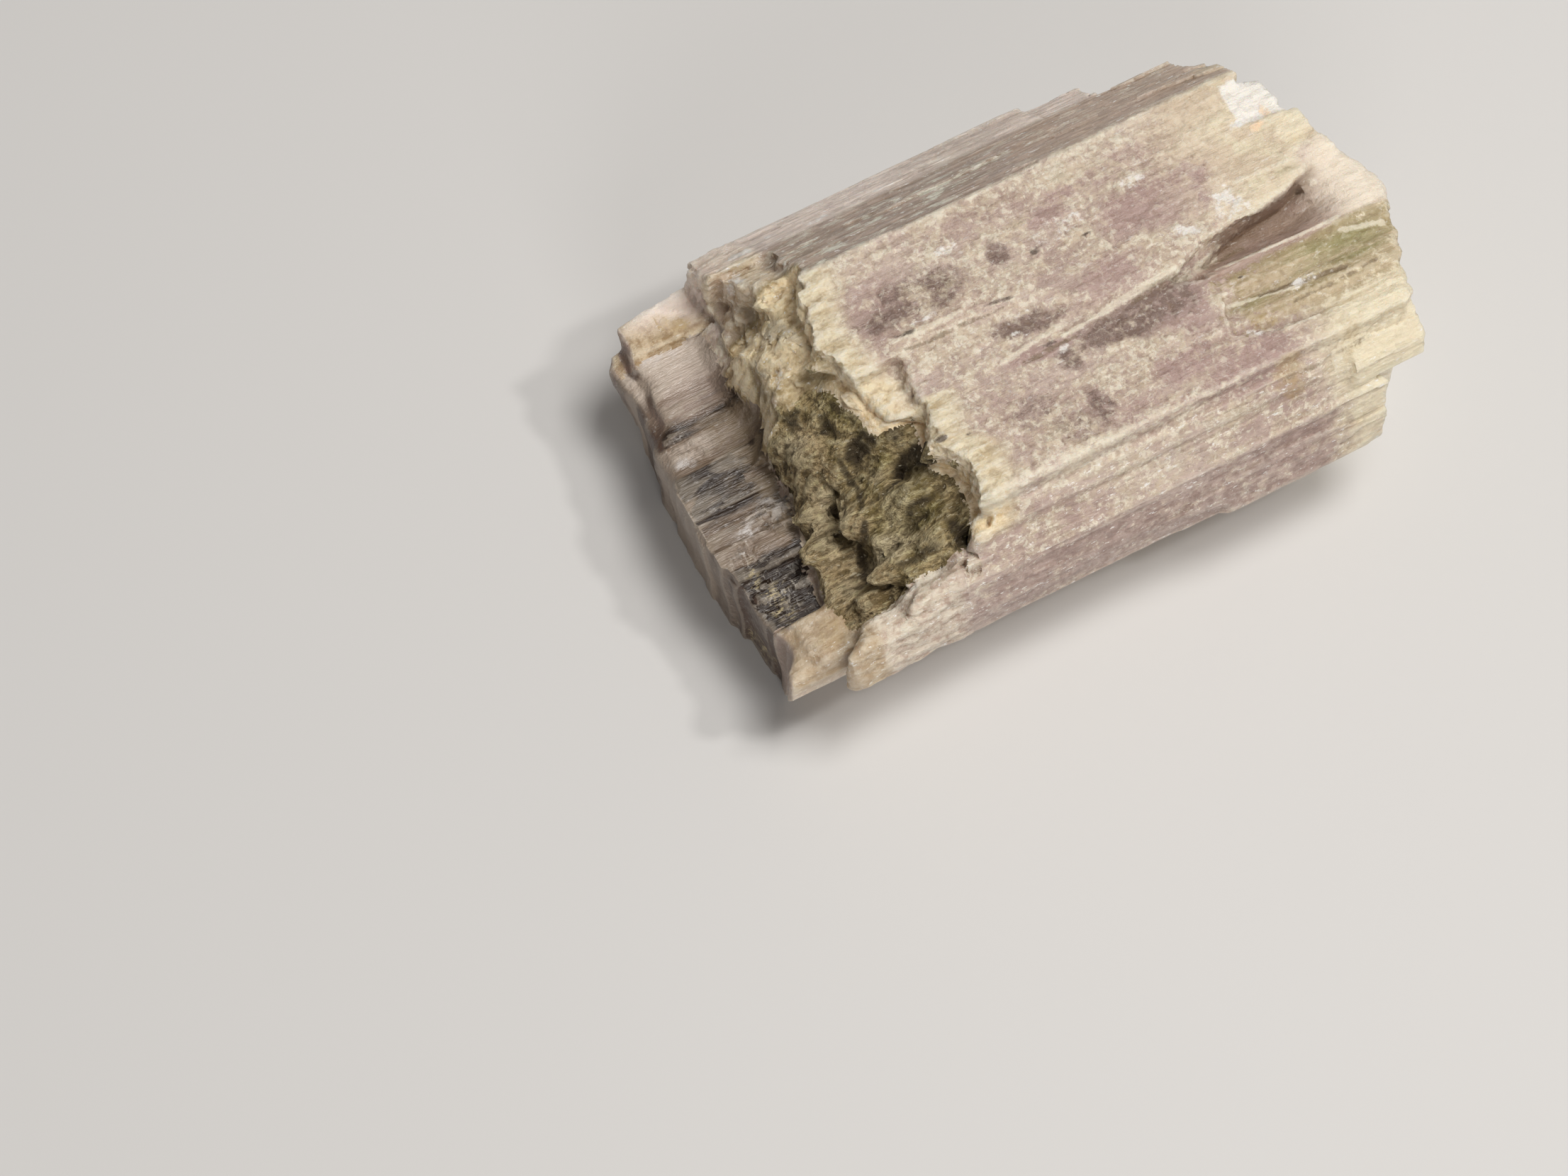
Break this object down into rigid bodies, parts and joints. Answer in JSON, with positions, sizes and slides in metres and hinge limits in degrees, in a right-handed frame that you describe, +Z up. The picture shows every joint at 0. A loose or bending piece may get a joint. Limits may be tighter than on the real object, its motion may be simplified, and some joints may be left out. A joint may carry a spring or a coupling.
{
  "type": "aragonite crystal",
  "caption": "Stout stepped prism of pale lilac and cream aragonite, with a low glassy terrace at one end and splintered slabs at the other.",
  "frame": {"origin": "middle of the bounding box seen from above, on the flat prism face that the crystal rests on", "axes": "+X along the length from the glassy terrace to the splintered end, +Y towards the broad slanted back face, +Z up"},
  "size_m": [0.0308, 0.0198, 0.0126],
  "materials": {
    "aragonite": "cloudy lilac and cream crystal, glassy on its prism faces, matt and crusted on its broken ends"
  },
  "bodies": {
    "root": {"aragonite_crystal": "aragonite"}
  },
  "joints": []
}
